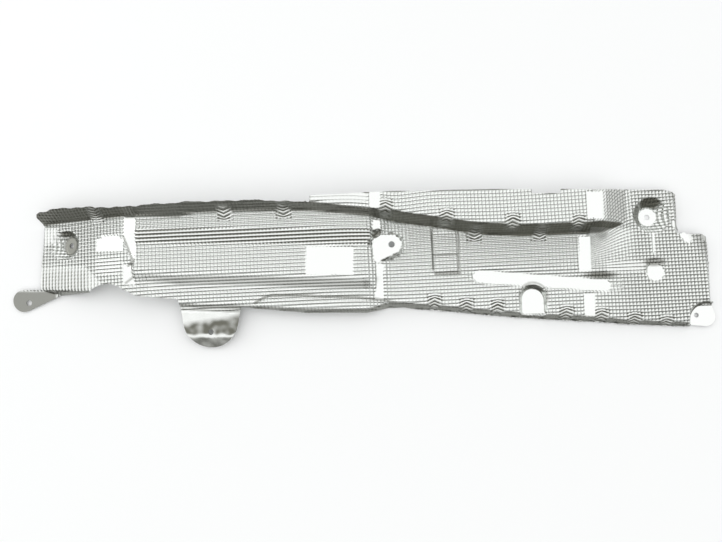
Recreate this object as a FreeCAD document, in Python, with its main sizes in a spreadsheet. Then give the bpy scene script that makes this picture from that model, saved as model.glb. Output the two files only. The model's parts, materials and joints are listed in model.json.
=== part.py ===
"""Heat shield for the underside of a car: one sheet of embossed aluminium, pressed, trimmed and pierced.

Millimetres. X runs along the shield, Y to the wall at its back, Z up from the floor it lies on.
The sheet is the gap between two press tools: the die holds its upper face, the punch its lower face.
"""
import FreeCAD
import Part
import math
import os
import Sketcher

doc = FreeCAD.newDocument("heat_shield")
Vector = FreeCAD.Vector
Z_AXIS = Vector(0, 0, 1)

# Driving dimensions
SIZES = {
    # sheet and tools
    "gauge": 1.0,
    "tool_base": -30,
    "tool_back": 125,
    "tool_top": 90,
    # bends of the press form
    "flange_lift": 1,
    "plate_fall": 62,
    "trough_fall": 48,
    "bend": 3.5,
    # round fixing seats
    "seat_radius": 14,
    "seat_draft": 42,
    "left_seat_x": -419.5,
    "left_seat_y": 32.5,
    "left_seat_tilt": 20,
    "right_seat_x": 411,
    "right_seat_y": 75,
    # lobed seats let into the plate
    "lobe_draft": 30,
    "pad_x": 38.5,
    "pad_y": 31.5,
    "pad_z": 27,
    "pad_radius": 14,
    "pad_reach": 28,
    "pocket_x": 238.5,
    "pocket_y": -44,
    "pocket_z": 7,
    "pocket_radius": 15.5,
    "pocket_reach": 40,
    "corner_x": 486.5,
    "corner_y": -74.5,
    "corner_z": 3,
    "corner_radius": 25,
    "corner_fill": 4.5,
    # stiffening forms
    "dimple_x": 412.5,
    "dimple_y": -0.5,
    "dimple_radius": 30,
    "dimple_depth": 3.2,
    "rib_y": 20.5,
    "rib_length": 32,
    "rib_radius": 5,
    "rib_depth": 0.9,
    "bead_x": 152,
    "bead_y": -9,
    "bead_length": 206,
    "bead_turn": -3.8,
    "bead_radius": 28,
    "bead_depth_left": 1.0,
    "bead_depth_right": 2.4,
    "frame_x": 114.5,
    "frame_y": 19.5,
    "frame_width": 38,
    "frame_depth": 57,
    "frame_rise": 2,
    "dart_radius": 20,
    "dart_depth": 3.4,
    # turned-down edges at the right end
    "end_x": 488,
    "end_low_y": -47,
    "end_notch_y": 51,
    "end_step_x": 446,
    "end_draft": 32,
    # tab at the front and ear at the left
    "tab_x": -214.5,
    "tab_y": -73.5,
    "tab_radius": 38.5,
    "tab_root_y": -50,
    "tab_root_z": 17.5,
    "tab_root": 44,
    "tab_crease_y": -96,
    "tab_crease_z": 13.5,
    "tab_tip_z": 5,
    "tab_dish_radius": 28,
    "tab_dish_depth": 1.5,
    "ear_x": -484.5,
    "ear_y": -46.5,
    "ear_radius": 15.5,
    "ear_root_x": -433,
    "ear_root_z": 5.5,
    "ear_fall": 7,
    # trimmed outline
    "panel_x": -460,
    "tip_x": -465,
    "tip_y": 72,
    "arch_x": -357,
    "arch_y": -65,
    "arch_radius": 41,
    "relief_x": -76.5,
    "relief_radius": 2.5,
    "notch_x": 231.5,
    "notch_y": 100.5,
    "notch_width": 40.5,
    "side_x": 495,
    "step_x": 453,
    "step_y": 49,
    "ear_root_y": -39,
    "corner_lobe_x": 485.5,
    "corner_lobe_y": -67.5,
    "corner_lobe_radius": 14.5,
    "corner_root_x": 457,
    "corner_root_y": -80,
    # fixing holes
    "seat_hole": 4,
    "pad_hole": 4.5,
    "ear_hole": 4,
    "ear_hole_x": -477.5,
    "ear_hole_y": -49.5,
    "tab_hole": 4,
    "tab_hole_y": -90.5,
    "corner_hole": 3.5,
    "corner_hole_x": 473,
    "corner_hole_y": -66.5,
}

# Cross-sections from left to right: place, trimmed front, front lip, wall foot, wall rise, trimmed back
COLUMNS = ("x", "front_y", "lip_y", "lip_z", "foot_y", "foot_z", "run", "rise", "edge_y")
STATIONS = {
    "left_end": (-510, -34, -31, -6, 58, -6, 17, 26, 76),
    "left_wall": (-432, -38.5, -33, 12, 64, 12, 17, 26, 81.5),
    "crease": (-335, -31, -34, 29, 69.5, 34, 17, 25, 81.5),
    "trough_in": (-316, -40.5, -43.5, 26, 68, 40, 17, 23, 81.5),
    "trough_left": (-255.5, -45.5, -50, 22, 67, 41, 17, 22, 83.5),
    "trough_tab": (-231, -50, -51.5, 22, 73, 41, 16, 21, 87.5),
    "trough_mid": (-158.5, -56.5, -52.5, 21.5, 75, 41, 14, 19, 88.5),
    "wall_end": (-82, -63, -57, 20, 77, 41, 9, 17, 87.5),
    "flange_in": (-73.5, -63, -57, 20, 77, 41, 8.5, 17, 94),
    "trough_out": (5.5, -63, -57, 18.5, 70, 38, 8.5, 13, 100),
    "plate_in": (36.5, -56, -48.5, 14, 67, 22, 9.5, 26, 102),
    "plate_pad": (58, -55.5, -50, 14, 63.5, 21, 8.5, 26, 102.5),
    "plate_left": (96, -60.5, -52, 13.5, 59, 20.5, 8, 25.5, 103.5),
    "plate_frame": (133, -64, -55.5, 13, 53, 20, 8.5, 26, 104.5),
    "plate_bead": (169.5, -67.5, -59, 13, 47.5, 20, 11, 25, 105.5),
    "plate_mid": (259.5, -74.5, -65.5, 13, 46.5, 20, 12, 22, 106.5),
    "ramp_top": (333, -79, -69.5, 12.5, 49, 18.5, 14.5, 21, 107),
    "ramp_foot": (374, -83, -73.5, 11, 60, 14.5, 9, 2, 112),
    "right_end": (515, -90, -79, 9.5, 63, 12, 9, 1, 112),
}
TROUGH = ("trough_in", "trough_left", "trough_tab", "trough_mid", "wall_end", "flange_in", "trough_out")

dims = doc.addObject("Spreadsheet::Sheet", "dims")
cells = dict(SIZES)
for station, row in STATIONS.items():
    for column, size in zip(COLUMNS, row):
        cells[station + "_" + column] = size
for line, (alias, size) in enumerate(cells.items(), start=1):
    dims.set("A%d" % line, alias)
    dims.set("B%d" % line, str(size))
    dims.setAlias("B%d" % line, alias)
doc.recompute()


def size(alias):
    return float(dims.get(alias))


def along(column, x):
    """Straight-line value of a station column at any place along the shield."""
    names = list(STATIONS)
    for left, right in zip(names, names[1:]):
        x0 = size(left + "_x")
        x1 = size(right + "_x")
        if x <= x1:
            share = (x - x0) / (x1 - x0)
            low = size(left + "_" + column)
            return low + share * (size(right + "_" + column) - low)
    return size(names[-1] + "_" + column)


def value(expression):
    """Number behind an expression such as dims.side_x - 4."""
    words = expression.split()
    total = 0.0
    sign = 1
    for word in words:
        if word in "+-":
            sign = 1 if word == "+" else -1
        else:
            total += sign * (size(word[5:]) if word.startswith("dims.") else float(word))
    return total


def primitive(kind, name, **sizes):
    """Part primitive with its sizes bound to the sheet of dimensions."""
    item = doc.addObject("Part::" + kind, name)
    for key, expression in sizes.items():
        item.setExpression(key, expression)
    return item


def group(kind, name, shapes):
    item = doc.addObject("Part::" + kind, name)
    item.Shapes = shapes
    return item


def cut(name, base, tool):
    item = doc.addObject("Part::Cut", name)
    item.Base = base
    item.Tool = tool
    return item


def thickness(inset):
    return size("gauge") if inset != "0" else 0.0


def surface_z(x, y):
    """Height of the flat plate between its lip and the wall foot."""
    lip_y = along("lip_y", x)
    share = (y - lip_y) / (along("foot_y", x) - lip_y)
    return along("lip_z", x) + share * (along("foot_z", x) - along("lip_z", x))


def wall_slope(x):
    return math.degrees(math.atan2(along("rise", x), along("run", x)))


# Press form: sections of the sheet's upper face from the front apron to the back flange
TROUGH_SHAPE = ((0.20, 0.12), (0.33, 0.70), (0.66, 0.71), (0.83, 1.0))
PLATE_SHAPE = ((0.08, 0.09), (0.33, 0.36), (0.60, 0.64), (0.79, 0.83))


def section_corners(station):
    lip_y = size(station + "_lip_y")
    lip_z = size(station + "_lip_z")
    foot_y = size(station + "_foot_y")
    foot_z = size(station + "_foot_z")
    rise = size(station + "_rise")
    shape = TROUGH_SHAPE if station in TROUGH else PLATE_SHAPE
    fall = math.radians(size("trough_fall") if station in TROUGH else size("plate_fall"))
    drop = lip_z - size("tool_base")
    corners = [(lip_y - drop / math.tan(fall), size("tool_base")), (lip_y, lip_z)]
    for share_y, share_z in shape:
        corners.append((lip_y + share_y * (foot_y - lip_y), lip_z + share_z * (foot_z - lip_z)))
    corners.append((foot_y, foot_z))
    corners.append((foot_y + size(station + "_run"), foot_z + rise))
    corners.append((size("tool_back"), foot_z + rise + size("flange_lift")))
    return corners


def inset_corners(corners, inset):
    """Corners of the same section with every run moved down through the sheet."""
    runs = []
    for (y0, z0), (y1, z1) in zip(corners, corners[1:]):
        length = math.hypot(y1 - y0, z1 - z0)
        uy = (y1 - y0) / length
        uz = (z1 - z0) / length
        runs.append((y0 + uz * inset, z0 - uy * inset, uy, uz))
    y, z, uy, uz = runs[0]
    moved = [(y + uy * (size("tool_base") - z) / uz, size("tool_base"))]
    for (y0, z0, uy, uz), (y1, z1, vy, vz) in zip(runs, runs[1:]):
        turn = uy * vz - uz * vy
        share = ((y1 - y0) * vz - (z1 - z0) * vy) / turn if abs(turn) > 1e-4 else None
        moved.append((y1, z1) if share is None else (y0 + share * uy, z0 + share * uz))
    y, z, uy, uz = runs[-1]
    moved.append((size("tool_back"), z + uz * (size("tool_back") - y) / uy))
    return moved


def section_wire(station, inset):
    """Closed section of a press tool: straight runs joined by tangent bends."""
    x = size(station + "_x")
    corners = inset_corners(section_corners(station), inset)
    edges = []
    start = Vector(x, *corners[0])
    for before, corner, after in zip(corners, corners[1:], corners[2:]):
        here = Vector(x, *corner)
        back = (Vector(x, *before) - here).normalize()
        ahead = (Vector(x, *after) - here).normalize()
        half_turn = (math.pi - back.getAngle(ahead)) / 2
        hollow = (back.y * ahead.z - back.z * ahead.y) < 0
        reach = size("bend") * (0.6 if corner is corners[2] else 1)
        reach += (inset if hollow else -inset) * math.tan(half_turn)
        leave = here + back * reach
        meet = here + ahead * reach
        edges.append(Part.makeLine(start, leave))
        if half_turn < 0.002:
            edges.append(Part.makeLine(leave, meet))
        else:
            radius = reach / math.tan(half_turn)
            middle = here + (back + ahead).normalize() * (radius / math.cos(half_turn) - radius)
            edges.append(Part.Arc(leave, middle, meet).toShape())
        start = meet
    end = Vector(x, *corners[-1])
    heel = Vector(x, size("tool_back"), size("tool_base"))
    edges.append(Part.makeLine(start, end))
    edges.append(Part.makeLine(end, heel))
    edges.append(Part.makeLine(heel, Vector(x, *corners[0])))
    return Part.Wire(edges)


GROUPS = (
    ("left_end", "crease", True),
    ("crease", "trough_in", True),
    ("trough_in", "trough_out", True),
    ("trough_out", "plate_in", True),
    ("plate_in", "plate_frame", True),
    ("plate_frame", "ramp_top", False),
    ("ramp_top", "ramp_foot", True),
    ("ramp_foot", "right_end", True),
)


def press_form(tool, inset):
    sections = {}
    for station in STATIONS:
        sections[station] = doc.addObject("Part::Feature", "%s_%s" % (tool, station))
        sections[station].Shape = section_wire(station, inset)
    names = list(STATIONS)
    lofts = []
    for first, last, ruled in GROUPS:
        loft = doc.addObject("Part::Loft", "%s_%s_form" % (tool, first))
        loft.Sections = [sections[name] for name in names[names.index(first):names.index(last) + 1]]
        loft.Solid = True
        loft.Ruled = ruled
        lofts.append(loft)
    form = doc.addObject("Part::MultiFuse", tool + "_form")
    form.Shapes = lofts
    return form


# Round seats: drafted cups sunk into the sheet down to the floor, the left one tilted to its stud
def left_seat_place():
    tilt = math.radians(size("left_seat_tilt"))
    rim = (size("seat_radius") + size("gauge")) * math.sin(tilt)
    return Vector(size("left_seat_x"), size("left_seat_y"), rim + size("gauge") * math.cos(tilt))


def right_seat_place():
    return Vector(size("right_seat_x"), size("right_seat_y"), size("gauge"))


def round_seat(tool, name, place, tilt, inset):
    cup = primitive(
        "Cone", "%s_%s" % (tool, name),
        Radius1="dims.seat_radius + %s * (1 / cos(dims.seat_draft) - tan(dims.seat_draft))" % inset,
        Radius2="dims.seat_radius + %s / cos(dims.seat_draft) + 60 * tan(dims.seat_draft)" % inset,
        Height="60 + " + inset)
    turn = FreeCAD.Rotation(Vector(0, 1, 0), -tilt)
    cup.Placement = FreeCAD.Placement(place + turn.multVec(Z_AXIS) * -thickness(inset), turn)
    return cup


# Lobed seat: a half-round cup that runs on as channels, sunk into the sheet or raised out of it
def lobe(tool, name, prefix, turns, raised, inset):
    sign = "-" if raised else "+"
    base = "dims.%s_radius %s %s" % (prefix, sign, inset)
    flare = "60 * tan(dims.lobe_draft)"
    place = Vector(size(prefix + "_x"), size(prefix + "_y"), size(prefix + "_z") - thickness(inset))
    upright = FreeCAD.Rotation(Vector(1, 0, 0), 90)
    over = FreeCAD.Rotation(Vector(1, 0, 0), 180)
    round_end = primitive(
        "Cone", "%s_%s_end" % (tool, name), Radius1=base, Radius2="%s + %s" % (base, flare), Height="60")
    round_end.Placement = FreeCAD.Placement(place, over if raised else FreeCAD.Rotation())
    lobes = [round_end]
    for turn in turns:
        run = primitive(
            "Wedge", "%s_%s_run" % (tool, name), Ymin="0", Ymax="60", Zmin="0", Z2min="0",
            Zmax="dims.%s_reach" % prefix, Z2max="dims.%s_reach" % prefix, Xmin="-(%s)" % base, Xmax=base,
            X2min="-(%s + %s)" % (base, flare), X2max="%s + %s" % (base, flare))
        spin = FreeCAD.Rotation(Z_AXIS, turn)
        if raised:
            spin = spin * FreeCAD.Rotation(Z_AXIS, 180) * over
        run.Placement = FreeCAD.Placement(place, spin * upright)
        lobes.append(run)
    return lobes


# Dished recess: a ball pressed into the sheet to a stated depth
def ball(tool, name, place, inset):
    item = primitive("Sphere", "%s_%s" % (tool, name), Radius="dims.%s_radius + %s" % (name, inset))
    item.Placement.Base = place + Z_AXIS * (size(name + "_radius") - size(name + "_depth"))
    return item


# Darts: half-round grooves across a bend that folds down, or ribs across a bend that folds up
SHOULDER_DARTS = (28.5, 112, 206, 298)
FOOT_DARTS = (-372, -191, -110, 157, 246.5)
LIP_DARTS = (98.5, 145.5, 188.5, 282, 334, 381.5, 429)


def dart(tool, name, corner, slope, raised, inset):
    grow = "-" if raised else "+"
    rod = primitive(
        "Cylinder", "%s_%s" % (tool, name), Radius="dims.dart_radius %s %s" % (grow, inset), Height="70")
    half = math.radians(slope) / 2
    outward = Vector(0, -math.sin(half), math.cos(half))
    run = Vector(0, math.cos(half), math.sin(half))
    rise = size("dart_depth") - size("dart_radius")
    centre = corner + outward * (rise if raised else -rise)
    rod.Placement = FreeCAD.Placement(centre - run * 35, FreeCAD.Rotation(Z_AXIS, run))
    return rod


def block(tool, name, x0, x1, profile):
    """Prism along X under a line of (y, z) points, down to the base of the tool."""
    points = [Vector(x0, y, z) for y, z in profile]
    points.append(Vector(x0, profile[-1][0], size("tool_base")))
    points.append(Vector(x0, profile[0][0], size("tool_base")))
    item = doc.addObject("Part::Feature", "%s_%s" % (tool, name))
    item.Shape = Part.Face(Part.makePolygon(points + points[:1])).extrude(Vector(x1 - x0, 0, 0))
    return item


PAD_TURNS = (-90, -65)


def press_tool(tool, inset):
    deep = thickness(inset)
    form = press_form(tool, deep)

    # Ground added in front of the form: the tab, the ear and the low corner
    tip_y = size("tab_y") - size("tab_radius")
    tip_fall = (size("tab_crease_z") - size("tab_tip_z")) / (size("tab_crease_y") - tip_y)
    tab_side = size("tab_root") + 10
    tab = block(tool, "tab", size("tab_x") - tab_side, size("tab_x") + tab_side, (
        (size("tab_root_y") + 3, size("tab_root_z") - deep),
        (size("tab_crease_y"), size("tab_crease_z") - deep),
        (tip_y - 10, size("tab_tip_z") - deep - 10 * tip_fall)))
    fall = math.tan(math.radians(size("ear_fall")))
    ear_deep = deep / math.cos(math.radians(size("ear_fall")))
    lip_y = along("lip_y", size("ear_x"))
    ear = block(tool, "ear", size("left_end_x"), size("ear_root_x"), (
        (lip_y + 3, size("ear_root_z") - ear_deep),
        (lip_y - 47, size("ear_root_z") - ear_deep - 50 * fall)))
    corner = block(tool, "corner", size("corner_x") - 29, size("right_end_x"), (
        (size("end_low_y"), size("corner_fill") - deep),
        (size("corner_y") - 35, size("corner_fill") - deep)))
    ground = group("MultiFuse", tool + "_ground", [form, tab, ear, corner])

    # Forms sunk into the sheet
    sunk = [
        round_seat(tool, "left_seat", left_seat_place(), size("left_seat_tilt"), inset),
        round_seat(tool, "right_seat", right_seat_place(), 0, inset),
    ]
    sunk += lobe(tool, "pad_sunk", "pad", PAD_TURNS, False, inset)
    sunk += lobe(tool, "pocket", "pocket", (0,), False, inset)
    low = primitive(
        "Cone", tool + "_corner_seat", Height="60",
        Radius1="dims.corner_radius + " + inset, Radius2="dims.corner_radius + 22 + " + inset)
    low.Placement.Base = Vector(size("corner_x"), size("corner_y"), size("corner_z") - deep)
    sunk.append(low)
    dimple_z = surface_z(size("dimple_x"), size("dimple_y"))
    sunk.append(ball(tool, "dimple", Vector(size("dimple_x"), size("dimple_y"), dimple_z), inset))
    dish_place = Vector(size("tab_x"), size("tab_hole_y"), size("tab_crease_z"))
    sunk.append(ball(tool, "tab_dish", dish_place, inset))
    rib = primitive(
        "Cylinder", tool + "_rib", Radius="dims.rib_radius + " + inset, Height="dims.rib_length")
    rib_y = size("rib_y")
    rib_z = surface_z(size("dimple_x"), rib_y) - size("rib_depth") + size("rib_radius")
    rib_turn = FreeCAD.Rotation(Z_AXIS, Vector(0, 1, 0.05))
    rib.Placement = FreeCAD.Placement(Vector(size("dimple_x"), rib_y, rib_z), rib_turn)
    sunk.append(rib)
    turn = math.radians(size("bead_turn"))
    bead_x = size("bead_x") + size("bead_length") * math.cos(turn)
    bead_y = size("bead_y") + size("bead_length") * math.sin(turn)
    left = Vector(size("bead_x"), size("bead_y"), surface_z(size("bead_x"), size("bead_y")))
    left.z += size("bead_radius") - size("bead_depth_left")
    right = Vector(bead_x, bead_y, surface_z(bead_x, bead_y))
    right.z += size("bead_radius") - size("bead_depth_right")
    bead = primitive(
        "Cylinder", tool + "_bead", Radius="dims.bead_radius + " + inset, Height="dims.bead_length")
    bead.Placement = FreeCAD.Placement(left, FreeCAD.Rotation(Z_AXIS, right - left))
    sunk.append(bead)
    for end, place in (("left", left), ("right", left + (right - left).normalize() * size("bead_length"))):
        cap = primitive("Sphere", "%s_bead_%s" % (tool, end), Radius="dims.bead_radius + " + inset)
        cap.Placement.Base = place
        sunk.append(cap)
    for x in SHOULDER_DARTS:
        shoulder = Vector(x, along("foot_y", x) + along("run", x), along("foot_z", x) + along("rise", x))
        sunk.append(dart(tool, "shoulder_dart", shoulder, wall_slope(x), False, inset))
    for x in LIP_DARTS:
        lip = Vector(x, along("lip_y", x), along("lip_z", x))
        sunk.append(dart(tool, "lip_dart", lip, size("plate_fall"), False, inset))

    # Turned-down edges at the right end
    draft = FreeCAD.Rotation(Vector(0, 1, 0), -size("end_draft"))
    shift = deep / math.cos(math.radians(size("end_draft")))
    for name, x, y0, y1 in (("end", size("end_x"), size("end_low_y"), size("end_notch_y") + 3),
                            ("end_step", size("end_step_x"), size("end_notch_y"), size("tool_back"))):
        box = primitive("Box", "%s_%s" % (tool, name), Length="120", Height="140")
        box.Width = y1 - y0
        foot = Vector(x - shift, y0, along("foot_z", x))
        box.Placement = FreeCAD.Placement(foot - draft.multVec(Vector(0, 0, 70)), draft)
        sunk.append(box)
    hollowed = cut(tool + "_hollowed", ground, group("MultiFuse", tool + "_sunk", sunk))

    # Forms raised out of the sheet
    raised = [hollowed] + lobe(tool, "pad_raised", "pad", PAD_TURNS, True, inset)
    pitch = math.degrees(math.atan2(along("foot_z", size("frame_x")) - along("lip_z", size("frame_x")),
                                    along("foot_y", size("frame_x")) - along("lip_y", size("frame_x"))))
    frame = primitive(
        "Wedge", tool + "_frame", Ymin="-10", Ymax="dims.frame_rise - " + inset,
        Xmin="-dims.frame_width / 2 - 6 + " + inset, Xmax="dims.frame_width / 2 + 6 - " + inset,
        Zmin="-dims.frame_depth / 2 - 6 + " + inset, Zmax="dims.frame_depth / 2 + 6 - " + inset,
        X2min="-dims.frame_width / 2 + 1 + " + inset, X2max="dims.frame_width / 2 - 1 - " + inset,
        Z2min="-dims.frame_depth / 2 + 1 + " + inset, Z2max="dims.frame_depth / 2 - 1 - " + inset)
    frame.Placement = FreeCAD.Placement(
        Vector(size("frame_x"), size("frame_y"), surface_z(size("frame_x"), size("frame_y"))),
        FreeCAD.Rotation(Vector(1, 0, 0), 90 + pitch))
    raised.append(frame)
    for x in FOOT_DARTS:
        foot = Vector(x, along("foot_y", x), along("foot_z", x))
        raised.append(dart(tool, "foot_dart", foot, wall_slope(x), True, inset))
    return group("MultiFuse", tool, raised)


# Trimmed outline: the blank seen from above, with its lobes added and its notches cut out
blank = doc.addObject("PartDesign::Body", "blank")


def polygon_sketch(name, corners):
    """Sketch of straight lines through corners given as pairs of expressions."""
    sketch = blank.newObject("Sketcher::SketchObject", name)
    points = [Vector(value(x), value(y), 0) for x, y in corners]
    count = len(points)
    sketch.addGeometry([Part.LineSegment(points[i], points[(i + 1) % count]) for i in range(count)])
    rules = [Sketcher.Constraint("Coincident", i, 2, (i + 1) % count, 1) for i in range(count)]
    for i, point in enumerate(points):
        rules.append(Sketcher.Constraint("DistanceX", -1, 1, i, 1, point.x))
        rules.append(Sketcher.Constraint("DistanceY", -1, 1, i, 1, point.y))
    sketch.addConstraint(rules)
    for i, (x, y) in enumerate(corners):
        sketch.setExpression("Constraints[%d]" % (count + 2 * i), x)
        sketch.setExpression("Constraints[%d]" % (count + 2 * i + 1), y)
    return sketch


def lobe_sketch(name, prefix, first, second):
    """Sketch of a round lobe with tangent sides running back to two root corners."""
    sketch = blank.newObject("Sketcher::SketchObject", name)
    centre = Vector(size(prefix + "_x"), size(prefix + "_y"), 0)
    radius = size(prefix + "_radius")
    roots = [Vector(value(x), value(y), 0) for x, y in (first, second)]
    touches = []
    for root, side in zip(roots, (1, -1)):
        away = root - centre
        bearing = math.atan2(away.y, away.x) + side * math.acos(radius / away.Length)
        touches.append(centre + Vector(math.cos(bearing), math.sin(bearing), 0) * radius)
    circle = Part.Circle(centre, Z_AXIS, radius)
    sketch.addGeometry([
        Part.ArcOfCircle(circle, circle.parameter(touches[0]), circle.parameter(touches[1])),
        Part.LineSegment(roots[0], touches[0]),
        Part.LineSegment(touches[1], roots[1]),
        Part.LineSegment(roots[1], roots[0]),
    ])
    sketch.addConstraint([
        Sketcher.Constraint("Tangent", 1, 2, 0, 1),
        Sketcher.Constraint("Tangent", 2, 1, 0, 2),
        Sketcher.Constraint("Coincident", 2, 2, 3, 1),
        Sketcher.Constraint("Coincident", 3, 2, 1, 1),
        Sketcher.Constraint("Radius", 0, radius),
        Sketcher.Constraint("DistanceX", -1, 1, 0, 3, centre.x),
        Sketcher.Constraint("DistanceY", -1, 1, 0, 3, centre.y),
        Sketcher.Constraint("DistanceX", -1, 1, 1, 1, roots[0].x),
        Sketcher.Constraint("DistanceY", -1, 1, 1, 1, roots[0].y),
        Sketcher.Constraint("DistanceX", -1, 1, 2, 2, roots[1].x),
        Sketcher.Constraint("DistanceY", -1, 1, 2, 2, roots[1].y),
    ])
    bound = ("dims.%s_radius" % prefix, "dims.%s_x" % prefix, "dims.%s_y" % prefix, *first, *second)
    for i, expression in enumerate(bound, start=4):
        sketch.setExpression("Constraints[%d]" % i, expression)
    return sketch


def trim(kind, sketch):
    feature = blank.newObject("PartDesign::" + kind, sketch.Name + "_" + kind.lower())
    feature.Profile = sketch
    feature.setExpression("Length", "dims.tool_top")
    feature.Reversed = kind == "Pocket"
    sketch.Visibility = False
    return feature


inner = list(STATIONS)[1:-1]
edge = [("dims.panel_x", "dims.left_end_front_y")]
edge += [("dims.%s_x" % name, "dims.%s_front_y" % name) for name in inner]
edge += [
    ("dims.corner_root_x", "dims.ramp_foot_front_y - 3"),
    ("dims.corner_root_x + 14", "dims.corner_y"),
    ("dims.side_x", "dims.end_low_y"),
    ("dims.side_x", "dims.right_end_edge_y"),
]
edge += [("dims.%s_x" % name, "dims.%s_edge_y" % name) for name in reversed(inner)]
edge += [
    ("dims.tip_x + 10", "dims.tip_y + 6.5"),
    ("dims.tip_x + 3", "dims.tip_y + 4"),
    ("dims.tip_x", "dims.tip_y"),
    ("dims.tip_x + 3", "dims.tip_y - 7"),
    ("dims.panel_x", "dims.tip_y - 12"),
]
trim("Pad", polygon_sketch("outline", edge))
ear_top = ("dims.ear_x + 40", "dims.ear_y + dims.ear_radius")
trim("Pad", lobe_sketch("ear_outline", "ear", ear_top, ("dims.ear_root_x", "dims.ear_root_y")))
tab_left = ("dims.tab_x - dims.tab_root", "dims.tab_root_y + 4")
tab_right = ("dims.tab_x + dims.tab_root", "dims.tab_root_y + 4")
trim("Pad", lobe_sketch("tab_outline", "tab", tab_left, tab_right))
corner_front = ("dims.corner_root_x", "dims.corner_root_y")
corner_side = ("dims.side_x - 1", "dims.end_low_y")
trim("Pad", lobe_sketch("corner_outline", "corner_lobe", corner_front, corner_side))
trim("Pocket", polygon_sketch("back_notch", [
    ("dims.notch_x", "dims.notch_y"),
    ("dims.notch_x + dims.notch_width", "dims.notch_y"),
    ("dims.notch_x + dims.notch_width", "dims.tool_back"),
    ("dims.notch_x", "dims.tool_back"),
]))
trim("Pocket", polygon_sketch("right_step", [
    ("dims.step_x - 24", "dims.right_end_edge_y"),
    ("dims.step_x - 15", "dims.right_end_edge_y - 1.5"),
    ("dims.step_x - 8", "dims.right_end_edge_y - 5.5"),
    ("dims.step_x - 3", "dims.right_end_edge_y - 12"),
    ("dims.step_x - 0.5", "dims.right_end_edge_y - 20"),
    ("dims.step_x", "dims.right_end_edge_y - 28"),
    ("dims.step_x - 3", "dims.step_y + 20"),
    ("dims.step_x + 6.5", "dims.step_y"),
    ("dims.side_x - 13", "dims.step_y"),
    ("dims.side_x - 7", "dims.step_y - 4"),
    ("dims.side_x - 3", "dims.step_y - 12"),
    ("dims.side_x", "dims.step_y - 40"),
    ("dims.side_x + 30", "dims.step_y - 40"),
    ("dims.side_x + 30", "dims.tool_back"),
    ("dims.step_x - 24", "dims.tool_back"),
]))


def round_notch(name, x, y, radius):
    sketch = blank.newObject("Sketcher::SketchObject", name)
    sketch.addGeometry(Part.Circle(Vector(value(x), value(y), 0), Z_AXIS, value(radius)))
    sketch.addConstraint([
        Sketcher.Constraint("Radius", 0, value(radius)),
        Sketcher.Constraint("DistanceX", -1, 1, 0, 3, value(x)),
        Sketcher.Constraint("DistanceY", -1, 1, 0, 3, value(y)),
    ])
    for i, expression in enumerate((radius, x, y)):
        sketch.setExpression("Constraints[%d]" % i, expression)
    return sketch


trim("Pocket", round_notch("arch", "dims.arch_x", "dims.arch_y", "dims.arch_radius"))
trim("Pocket", round_notch("relief", "dims.relief_x", "dims.wall_end_edge_y", "dims.relief_radius"))

# Fixing holes, each square to the seat it goes through
def hole(name, radius, place, turn):
    drill = primitive("Cylinder", name, Radius="dims." + radius, Height="16")
    drill.Placement = FreeCAD.Placement(place - turn.multVec(Z_AXIS) * 8, turn)
    return drill


level = FreeCAD.Rotation()
left_turn = FreeCAD.Rotation(Vector(0, 1, 0), -size("left_seat_tilt"))
ear_turn = FreeCAD.Rotation(Vector(1, 0, 0), size("ear_fall"))
ear_run = along("lip_y", size("ear_x")) + 3 - size("ear_hole_y")
ear_z = size("ear_root_z") - ear_run * math.tan(math.radians(size("ear_fall")))
holes = group("MultiFuse", "holes", [
    hole("left_drill", "seat_hole", left_seat_place(), left_turn),
    hole("right_drill", "seat_hole", right_seat_place(), level),
    hole("pad_drill", "pad_hole", Vector(size("pad_x"), size("pad_y"), size("pad_z")), level),
    hole("ear_drill", "ear_hole", Vector(size("ear_hole_x"), size("ear_hole_y"), ear_z), ear_turn),
    hole("tab_drill", "tab_hole", Vector(size("tab_x"), size("tab_hole_y"), size("tab_crease_z")), level),
    hole("corner_drill", "corner_hole",
         Vector(size("corner_hole_x"), size("corner_hole_y"), size("corner_z")), level),
])

# The sheet between the tools, trimmed to its outline and pierced
pressed = cut("pressed", press_tool("die", "0"), press_tool("punch", "dims.gauge"))
trimmed = group("MultiCommon", "trimmed", [pressed, blank])
sheet = cut("heat_shield", trimmed, holes)
doc.recompute()

# Check and write the sheet
for item in doc.Objects:
    if "Invalid" in item.State or "Error" in item.State:
        raise RuntimeError("%s did not build: %s" % (item.Name, item.State))
if sheet.Shape.isNull() or not sheet.Shape.isValid() or len(sheet.Shape.Solids) != 1:
    raise RuntimeError("the sheet is not one valid solid")
os.makedirs("parts", exist_ok=True)
sheet.Shape.Solids[0].exportStep("parts/%s.step" % sheet.Label)
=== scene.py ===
import json
import math

import bmesh
import bpy
import numpy
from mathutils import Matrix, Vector, noise
from mathutils.bvhtree import BVHTree
from mathutils.geometry import delaunay_2d_cdt
from mathutils.kdtree import KDTree


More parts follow.
